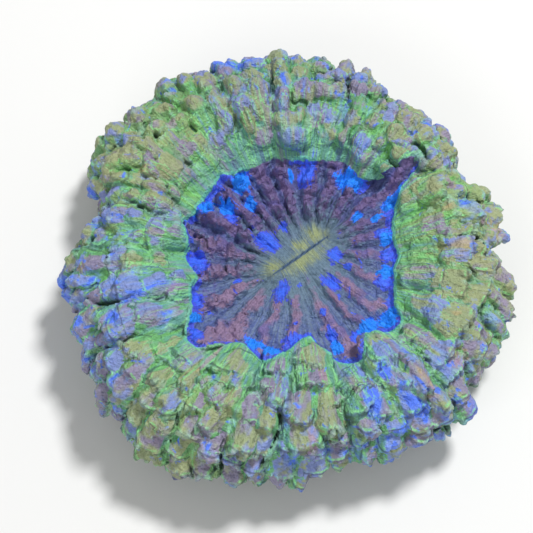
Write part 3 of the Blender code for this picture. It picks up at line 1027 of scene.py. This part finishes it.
def paint(piece, field, scales, bare):
    """Stores on the mesh what its material needs to know of each point."""
    points, normals = coordinates(piece.data), coordinates(piece.data, "normal")
    x, y = points[:, 0], points[:, 1]
    radius, bearing = polar(x, y)
    edge = around(disc_edge, bearing)
    slant = (around(disc_edge, bearing + 1.0) - around(disc_edge, bearing - 1.0)) / np.radians(2.0) / edge
    share = (radius - edge) / (around(outline, bearing) - edge)
    _, crest, angle, away = disc_ridges(x, y)
    known = {
        "share": share, "ridge": crest, "away": away, "height": points[:, 2],
        "disc_in": (edge - radius) / np.sqrt(1.0 + slant**2),
        "front": 0.5 - 0.5 * y / np.maximum(radius, 12.0),
        "lift": np.clip(sampled(bare, field, points), -1.0, 4.0),
        "bordering": around(ring(BORDER_BLUE, 2.0), bearing),
        "blueness": around(ring(BLUENESS, 8.0), bearing) + 0.04 * ease(share, 0.5, 1.0),
        "yellowness": around(ring(YELLOWNESS, 8.0), bearing),
        "fan": fan_place(angle, radius, 0.14),
        "flow": flow_place(points),
    }
    patches = {"lips": LIP_SPOTS, "azure": DISC_AZURE, "disc_blue": DISC_BLUE, "mauve": MAUVE_SPOTS,
               "blue": BLUE_SPOTS, "pink": PINK_SPOTS}
    known.update((name, spots(table, x, y)) for name, table in patches.items())
    known.update(painted_by_scale(field, scales, points))
    known.update(painted_by_opening(field, points, normals))
    for name, values in known.items():
        store(piece, name, values)


def grown_flesh():
    """The whole polyp's flesh, in the frame that the part has."""
    field = flesh_field()
    scales = grown_scales()
    bare = field.distance.copy()
    for scale in range(len(scales.rows)):
        add_scale(field, scales, scale)
    billow(field)
    fill_pits(field)
    cut_creases(field)
    field.distance = np.maximum(field.distance, -field.axes[2][None, None, :]).astype(np.float32)
    mesh = meshed(field)
    wrinkle(mesh)
    piece = thinned(mesh)
    paint(piece, field, scales, bare)
    move_points(piece.data, (coordinates(piece.data) + field.mouth) * MM)
    piece.data.materials.append(flesh_material())
    return piece


# ------------ material
def colour(red, green, blue):
    """A colour as written on a screen, from 0 to 255, in the numbers that Blender works with."""
    channels = [c / 255.0 for c in (red, green, blue)]
    return tuple(c / 12.92 if c <= 0.04045 else ((c + 0.055) / 1.055) ** 2.4 for c in channels) + (1.0,)


LEAF = colour(100, 162, 108)
BRIGHT_LEAF = colour(118, 192, 104)
OLIVE = colour(146, 168, 115)
TEAL = colour(98, 152, 166)
NET_GREEN = colour(136, 214, 136)
TAN = colour(157, 161, 123)
MAUVE = colour(146, 126, 168)
LILAC = colour(132, 138, 210)
PINK = colour(166, 136, 164)
PEACH = colour(178, 162, 118)
BRIGHT_BLUE = colour(78, 118, 240)
PERIWINKLE = colour(114, 146, 222)
AZURE = colour(34, 140, 255)
PATCH_BLUE = colour(62, 110, 250)
VIOLET = colour(72, 88, 226)
# Painted shade, put in creases, in pits and under the scales' edges.
PAINTED_SHADE = colour(50, 60, 70)
SLATE = colour(86, 102, 156)
LIGHT_SLATE = colour(114, 132, 162)
PLUM = colour(92, 90, 160)
BACK_RIDGE = colour(112, 94, 140)
FRONT_RIDGE = colour(146, 120, 150)
# Painted shade for the valleys between the disc's ridges.
VALLEY_SHADE = colour(56, 60, 112)
LIP_YELLOW = colour(164, 174, 112)
LIP_GREEN = colour(106, 132, 146)
SLIT_COLOUR = colour(84, 116, 160)
BORDER_GREEN = colour(112, 200, 176)
# The skirt's purple, made dark as painted shade under the ring.
SHADED_SKIRT_PURPLE = colour(90, 94, 136)
# The pale colour of thin flesh at sharp edges, used also as a painted highlight there.
PALE_EDGE_HIGHLIGHT = colour(160, 206, 188)


class Output:
    """What a node gives: a number that can be added to and multiplied, or a colour that can be mixed."""

    def __init__(self, nodes, socket):
        self.nodes = nodes
        self.socket = socket

    def __add__(self, other):
        return self.nodes.math("ADD", self, other)

    def __sub__(self, number):
        return self + -number

    def __mul__(self, other):
        return self.nodes.math("MULTIPLY", self, other)

    def at_least(self, number):
        """The number itself, or another where that is larger."""
        return self.nodes.math("MAXIMUM", self, number)

    def step(self, low, high):
        """0 where the number is at low, 1 where it is at high, smooth between; low may be above high."""
        node = self.nodes.add("ShaderNodeMapRange", interpolation_type="SMOOTHSTEP")
        rises = low < high
        self.nodes.feed(node, Value=self, From_Min=min(low, high), From_Max=max(low, high),
                        To_Min=0.0 if rises else 1.0, To_Max=1.0 if rises else 0.0)
        return Output(self.nodes, node.outputs["Result"])

    def towards(self, tint, share):
        """The colour mixed with a tint, which covers a share of it."""
        return self.nodes.mix(share, self, tint)


class Nodes:
    """Short ways to add and join the nodes of one material."""

    def __init__(self, material):
        self.tree = material.node_tree
        self.position = Output(self, self.add("ShaderNodeTexCoord").outputs["Object"])
        self.known = {}

    def __getitem__(self, name):
        """What paint stored on the mesh under a name."""
        if name not in self.known:
            node = self.add("ShaderNodeAttribute", attribute_name=name)
            self.known[name] = Output(self, node.outputs["Vector" if name in ("fan", "flow") else "Fac"])
        return self.known[name]

    def add(self, kind, **settings):
        """A new node with its settings."""
        node = self.tree.nodes.new(kind)
        for name, value in settings.items():
            setattr(node, name, value)
        return node

    def join(self, socket, value):
        """Gives a socket a number, a colour or another node's output."""
        if isinstance(value, Output):
            self.tree.links.new(value.socket, socket)
        else:
            socket.default_value = value

    def feed(self, node, **values):
        """The same for sockets of a node by name, with an underscore for each space."""
        for name, value in values.items():
            self.join(node.inputs[name.replace("_", " ")], value)

    def math(self, operation, first, second):
        """Works a number out from two others."""
        node = self.add("ShaderNodeMath", operation=operation)
        self.join(node.inputs[0], first)
        self.join(node.inputs[1], second)
        return Output(self, node.outputs["Value"])

    def scaled(self, place, factor, shift):
        """A place multiplied by a factor and moved, by a number or by another place."""
        node = self.add("ShaderNodeVectorMath", operation="MULTIPLY_ADD")
        self.join(node.inputs[0], place)
        self.join(node.inputs[1], (factor, factor, factor))
        self.join(node.inputs[2], shift if isinstance(shift, Output) else (shift, shift, shift))
        return Output(self, node.outputs["Vector"])

    def noise(self, size, detail=2.0, place=None, shift=0.0, distortion=0.0):
        """Noise about 0 with features of a size in millimetres, or in the units of the place given."""
        spread = self.scaled(place or self.position, (1.0 if place else 1.0 / MM) / size, shift)
        node = self.add("ShaderNodeTexNoise")
        self.feed(node, Vector=spread, Scale=1.0, Detail=detail, Distortion=distortion)
        return Output(self, node.outputs["Fac"]) - 0.5

    def net(self, place, size, width):
        """1 on the thin lines of an irregular net, with meshes of a size in the units of the place."""
        wobble = self.add("ShaderNodeTexNoise")
        self.feed(wobble, Vector=place, Scale=0.6 / size)
        bent = self.scaled(Output(self, wobble.outputs["Color"]), 2.4 * size, place)
        cells = self.add("ShaderNodeTexVoronoi", feature="DISTANCE_TO_EDGE")
        self.feed(cells, Vector=bent, Scale=1.0 / size)
        return Output(self, cells.outputs["Distance"]).step(width, width * 0.3)

    def varied(self, tint, amount):
        """A colour made lighter and darker by an amount about 0."""
        node = self.add("ShaderNodeHueSaturation")
        self.feed(node, Color=tint, Value=amount + 1.0)
        return Output(self, node.outputs["Color"])

    def mix(self, share, first, second):
        """A mix of two colours, with a share of the second."""
        node = self.add("ShaderNodeMix", data_type="RGBA", clamp_factor=True)
        self.join(node.inputs["Factor"], share)
        self.join(node.inputs[6], first)
        self.join(node.inputs[7], second)
        return Output(self, node.outputs[2])


def green_flesh(n, fine, streak, patchy):
    """Green flesh, more olive or teal from place to place, with pleats and threads on the inner wall and
    painted shade in streaks on its back.
    """
    share, fan, flow = n["share"], n["fan"], n["flow"]
    yellow = n["yellowness"] + patchy * 1.6 + (n["own_hue"] - 0.5) * 0.4 + share.step(0.45, 0.05) * -0.25
    base = n.mix(yellow.step(0.10, 0.85), LEAF, OLIVE)
    bright = n.noise(4.0, 3.0, flow, shift=13.0) + fine * 0.4 + share * -0.16 + n["lift"] * -0.07
    base = base.towards(BRIGHT_LEAF, bright.step(-0.20, 0.05) * 0.85)
    back = n["front"].step(0.35, 0.05) * share.step(0.30, 0.05)
    cool = streak + fine * 0.5 + n["yellowness"] * -0.15 + share.step(0.40, 0.05) * 0.12 + back * 0.10
    base = base.towards(TEAL, cool.step(-0.12, 0.17) * 0.62)
    pleats = (n.noise(4.2, 1.0, fan, shift=9.0) + fine * 0.3).step(0.05, 0.17)
    base = base.towards(MAUVE, pleats * share.step(0.45, 0.20) * 0.6)
    threads = (n.noise(0.9, 2.0, fan, shift=73.0) + fine * 0.3).step(0.08, 0.20)
    base = base.towards(NET_GREEN, threads * share.step(0.30, 0.08) * 0.75)
    # Painted shade: slate streaks on the inner wall at the back.
    shadowed = n.noise(1.4, 2.0, fan, shift=79.0).step(0.02, 0.16) * back
    return base.towards(SLATE, shadowed * 0.6)


def with_caps(n, base, fine, streak):
    """The tops of the scales turned tan, mauve and lilac, with pinker patches."""
    share, front, flow, stripe = n["share"], n["front"], n["flow"], n["stripe"]
    yellower = n["yellowness"] - 0.4
    middle = front * (stripe.step(0.60, 0.15) * 0.75 + stripe.step(0.45, 0.95) * -0.55)
    cap = n["lift"] * 0.34 + n.noise(3.4, 3.0, flow, shift=3.0, distortion=0.4) * 1.8
    cap = cap + (n["own_cap"] - 0.6) * 0.9 + middle + fine * 0.5 + streak * 0.7
    cap = cap + n["mauve"].at_least(-0.2) * 0.9 + share.step(0.35, 0.05) * -0.35
    cap = cap + (n["to_edge"] - 0.6) * -0.70 + front * -0.15 + yellower * -0.35
    soft, dabs = n.noise(4.5, 3.0, flow, shift=19.0), n.noise(1.8, 2.0, flow, shift=21.0)
    hue = n["own_hue"] * 0.6 + soft * 1.8 + dabs * 1.3 + yellower * -0.45
    bluish = n["own_blue"] * 0.8 + soft * -1.6 + dabs + n["blueness"] * 1.5
    tint = n.mix(hue.step(0.10, 0.60), TAN, MAUVE).towards(LILAC, bluish.step(0.68, 0.95))
    base = base.towards(tint, cap.step(0.16, 0.50) * share.step(0.02, 0.10) * 0.80)

    pink = n["pink"] + n.noise(2.4, 3.0, flow, shift=11.0, distortion=0.5) * 2.2
    pink = pink + (front + n["own_hue"] - 1.0) * 0.25
    pink_tint = n.mix((n["own_cap"] + fine).step(0.4, 0.6), PINK, PEACH)
    return base.towards(pink_tint, pink.step(0.10, 0.60) * 0.75)


def with_blues(n, base, fine):
    """Blue patches and dots on the mantle, and its blue rim."""
    share, blueness = n["share"], n["blueness"]
    blotch = n.noise(3.2, 2.5, n["flow"], shift=17.0, distortion=0.4)
    blue = blotch + fine * 0.25 + blueness + n["own_blue"] * 0.16 + n["blue"].at_least(-0.2) * 0.32
    base = base.towards(PERIWINKLE, blue.step(0.18, 0.40) * 0.75)
    base = base.towards(BRIGHT_BLUE, blue.step(0.35, 0.41) * 0.85)
    dots = n.noise(2.6, 2.0, shift=27.0, distortion=0.5) + blueness * 0.4 + share.step(0.35, 0.10) * -0.10
    base = base.towards(PERIWINKLE, dots.step(0.16, 0.23) * 0.6)
    base = base.towards(BRIGHT_BLUE, dots.step(0.21, 0.26) * 0.7)
    rim = share + blotch * 0.5 + blueness * 0.9
    return base.towards(BRIGHT_BLUE, rim.step(1.14, 1.24) * 0.5)


def with_lines(n, base, fine, patchy):
    """Pale green lines along the scales' edges and in nets, and painted shadow under the edges."""
    to_edge = n["to_edge"]
    broken = (n.noise(3.0, 2.0, shift=29.0) + fine).step(-0.10, 0.20)
    base = base.towards(NET_GREEN, to_edge.step(0.80, 0.92) * to_edge.step(1.04, 0.95) * broken * 0.75)
    meshes = n.net(n["flow"], 2.0, 0.06) * patchy.step(-0.08, 0.08) * n["share"].step(0.70, 0.35)
    base = base.towards(NET_GREEN, meshes * 0.70)
    # Painted shadow: a dark band just outside each scale's edge, stronger on the front.
    under = to_edge.step(0.98, 1.06) * to_edge.step(1.18, 1.08)
    return base.towards(PAINTED_SHADE, under * (n["front"] * 0.30 + 0.30))


def mantle_colour(n):
    """Green flesh whose scales turn tan, mauve and lilac on top, with blue patches and pale green lines."""
    fine, streak = n.noise(0.9, 2.0, n["flow"], shift=7.0), n.noise(1.2, 3.0, n["fan"])
    patchy = n.noise(5.0, 4.0, n["flow"])
    base = with_caps(n, green_flesh(n, fine, streak, patchy), fine, streak)
    return with_lines(n, with_blues(n, base, fine), fine, patchy)


def disc_colour(n):
    """Purple-brown ridges over slate valleys with painted shade in them at the back, ragged bright blue
    patches, and olive lips round the slit.
    """
    away, ridge, front = n["away"], n["ridge"], n["front"]
    streak, fine = n.noise(0.9, 3.0, n["fan"]), n.noise(1.2, 3.0, shift=31.0)
    blotch = n.noise(3.2, 3.0, shift=37.0, distortion=0.8)
    base = n.mix((streak + fine * 0.5).step(-0.15, 0.20), SLATE, LIGHT_SLATE)
    plum = blotch + fine * 0.5 + front * -0.25
    base = base.towards(PLUM, plum.step(-0.16, 0.08) * 0.75)
    olive = away + (streak + blotch) * 16.0
    base = base.towards(LIP_GREEN, olive.step(22.0, 7.0) * 0.8)

    # Painted shade in the valleys between the disc's ridges, towards the back only.
    valley = (ridge + fine * 0.8).step(0.42, 0.15) * front.step(0.75, 0.35) * away.step(7.0, 14.0)
    base = base.towards(VALLEY_SHADE, valley * 0.75)
    ridge_tint = n.mix((front + blotch * 1.2).step(0.20, 0.85), BACK_RIDGE, FRONT_RIDGE)
    changing = n.noise(6.0, 2.0, shift=71.0) + fine * 0.3
    ridge_tint = ridge_tint.towards(PLUM, changing.step(0.0, 0.18) * 0.6)
    ridged = (ridge + fine * 0.9 + blotch * 1.1).step(0.40, 0.90) * (away + blotch * 18.0).step(7.5, 15.0)
    base = base.towards(ridge_tint, ridged * 0.9)
    lips = n["lips"] + streak * 2.2 + blotch * 0.8
    base = base.towards(LIP_YELLOW, lips.step(-0.20, 0.95) * 0.8)

    ragged = blotch * 1.3 + fine * 0.9 + streak * 1.2
    patch = n["disc_blue"] + ragged
    blue = n.mix(patch.step(0.15, 0.50), VIOLET, PATCH_BLUE)
    base = base.towards(blue, patch.step(0.00, 0.12) * 0.92)
    band = n["disc_in"].step(3.4, 0.2) + blotch * 3.0 + n["bordering"]
    band_tint = n.mix((streak + fine).step(-0.10, 0.15), VIOLET, PATCH_BLUE)
    base = base.towards(band_tint, band.step(0.90, 1.10) * 0.85)
    azure = n["azure"] + ragged
    base = base.towards(PATCH_BLUE, azure.step(-0.12, 0.04) * 0.8)
    return base.towards(AZURE, azure.step(0.04, 0.16) * 0.95)


def flesh_colour(n, grain, thread):
    """The mantle's and the disc's colours joined, with the border, slit, skirt and mottling, painted light
    on the front and rim, a painted highlight on sharp edges, and painted shade.
    """
    disc_in = n["disc_in"]
    on_mantle = disc_in.step(0.5, -1.0)
    ragged = n.noise(1.6, 3.0, shift=41.0)
    edge = disc_in + ragged * 1.4
    tint = mantle_colour(n).towards(disc_colour(n), edge.step(-0.15, 0.15))
    border = edge.step(-0.9, -0.5) * edge.step(0.15, -0.10)
    border = border * (n.noise(5.0, 2.0, shift=67.0) + n["bordering"]).step(-0.10, 0.20)
    tint = tint.towards(BORDER_GREEN, border * 0.75)
    tint = tint.towards(SLIT_COLOUR, n["away"].step(0.60, 0.25) * 0.8)
    # Below the ring the flesh turns the skirt's own purple, darkened as painted shade.
    tint = tint.towards(SHADED_SKIRT_PURPLE, (n["height"] + ragged * 6.0).step(10.5, 8.0))
    # Sharp edges made paler: the flesh's thin pale edges together with a painted highlight.
    pale_and_highlit_edge = (n["sharp"] + ragged * 0.25).step(0.16, 0.50) * on_mantle
    tint = tint.towards(PALE_EDGE_HIGHLIGHT, pale_and_highlit_edge * 0.35)
    # Painted light: the front of the mantle and its outer rim made lighter, on top of the random mottling.
    lighter = (n["front"] * 0.06 + n["share"].step(0.70, 0.95) * 0.09) * on_mantle
    mottle = (grain * 0.50 + thread * 0.62) * (disc_in.step(-0.5, 0.5) * 0.45 + 1.0)
    tint = n.varied(tint, lighter + mottle)
    # Painted shade where little open space lies over the flesh: in creases, in pits and between scales.
    return tint.towards(PAINTED_SHADE, n["open"].step(0.55, 0.0) * 0.72)


def flesh_material():
    """Moist matte flesh with a fine grain."""
    material = bpy.data.materials.new("flesh")
    material.use_nodes = True
    n = Nodes(material)
    grain, thread = n.noise(0.55, 3.0, shift=47.0), n.noise(0.75, 2.0, n["fan"])
    bump = n.add("ShaderNodeBump")
    relief = grain * 0.5 + thread * 0.7 + n.noise(1.3, 3.0, shift=53.0) * 1.6
    n.feed(bump, Strength=0.8, Distance=1.1 * MM, Height=relief)
    n.feed(material.node_tree.nodes["Principled BSDF"], Base_Color=flesh_colour(n, grain, thread),
           Roughness=n.noise(2.0, 2.0, shift=43.0) * 0.4 + 0.52, Specular_IOR_Level=0.35,
           Normal=Output(n, bump.outputs["Normal"]))
    return material


# ------------ studio, in metres
CAMERA_ELEVATION = 68.0
CAMERA_DISTANCE = 0.48
FRAME_WIDTH = 0.1488
SENSOR_WIDTH = 36.0
LOOK_AT = (-0.0056, -0.00345, 0.022)
LAMPS_AIM = (0.0, 0.0, 0.02)
FLOOR_SIZE = 6.0
FLOOR_GREY = (0.80, 0.80, 0.79, 1.0)
WORLD_STRENGTH = 0.32
# Lamps: name, place, width across and power.
LAMPS = [("key", (0.38, 0.38, 1.04), 0.22, 12.3), ("fill", (-0.55, -0.9, 0.7), 0.9, 4.4)]


def pale_floor():
    """The floor that the polyp stands on."""
    bpy.ops.mesh.primitive_plane_add(size=FLOOR_SIZE)
    floor = bpy.context.active_object
    floor.name = "floor"
    material = bpy.data.materials.new("floor")
    material.use_nodes = True
    shader = material.node_tree.nodes["Principled BSDF"]
    shader.inputs["Base Color"].default_value = FLOOR_GREY
    shader.inputs["Roughness"].default_value = 0.9
    floor.data.materials.append(material)
    return floor


def soft_room():
    """Plain white light from all round."""
    world = bpy.data.worlds.new("soft_room")
    world.use_nodes = True
    background = world.node_tree.nodes["Background"]
    background.inputs["Color"].default_value = (1.0, 1.0, 1.0, 1.0)
    background.inputs["Strength"].default_value = WORLD_STRENGTH
    bpy.context.scene.world = world


def soft_lamp(name, place, size, power):
    """A round soft lamp that points at the polyp."""
    lamp = bpy.data.lights.new(name, "AREA")
    lamp.shape = "DISK"
    lamp.size = size
    lamp.energy = power
    holder = bpy.data.objects.new(name, lamp)
    holder.location = place
    holder.rotation_euler = (Vector(LAMPS_AIM) - Vector(place)).to_track_quat("-Z", "Y").to_euler()
    bpy.context.scene.collection.objects.link(holder)


def photo_camera():
    """The camera at the photo's angle, from the front and high above."""
    lens = bpy.data.cameras.new("camera")
    lens.sensor_width = SENSOR_WIDTH
    lens.lens = SENSOR_WIDTH * CAMERA_DISTANCE / FRAME_WIDTH
    camera = bpy.data.objects.new("camera", lens)
    bpy.context.scene.collection.objects.link(camera)
    lift = math.radians(CAMERA_ELEVATION)
    camera.location = Vector(LOOK_AT) + Vector((0.0, -math.cos(lift), math.sin(lift))) * CAMERA_DISTANCE
    camera.rotation_euler = (math.pi / 2 - lift, 0.0, 0.0)
    bpy.context.scene.camera = camera


flesh = grown_flesh()
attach(flesh, "root")
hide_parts("polyp")

floor = pale_floor()
soft_room()
for lamp in LAMPS:
    soft_lamp(*lamp)
photo_camera()
bpy.context.scene.view_settings.view_transform = "Standard"
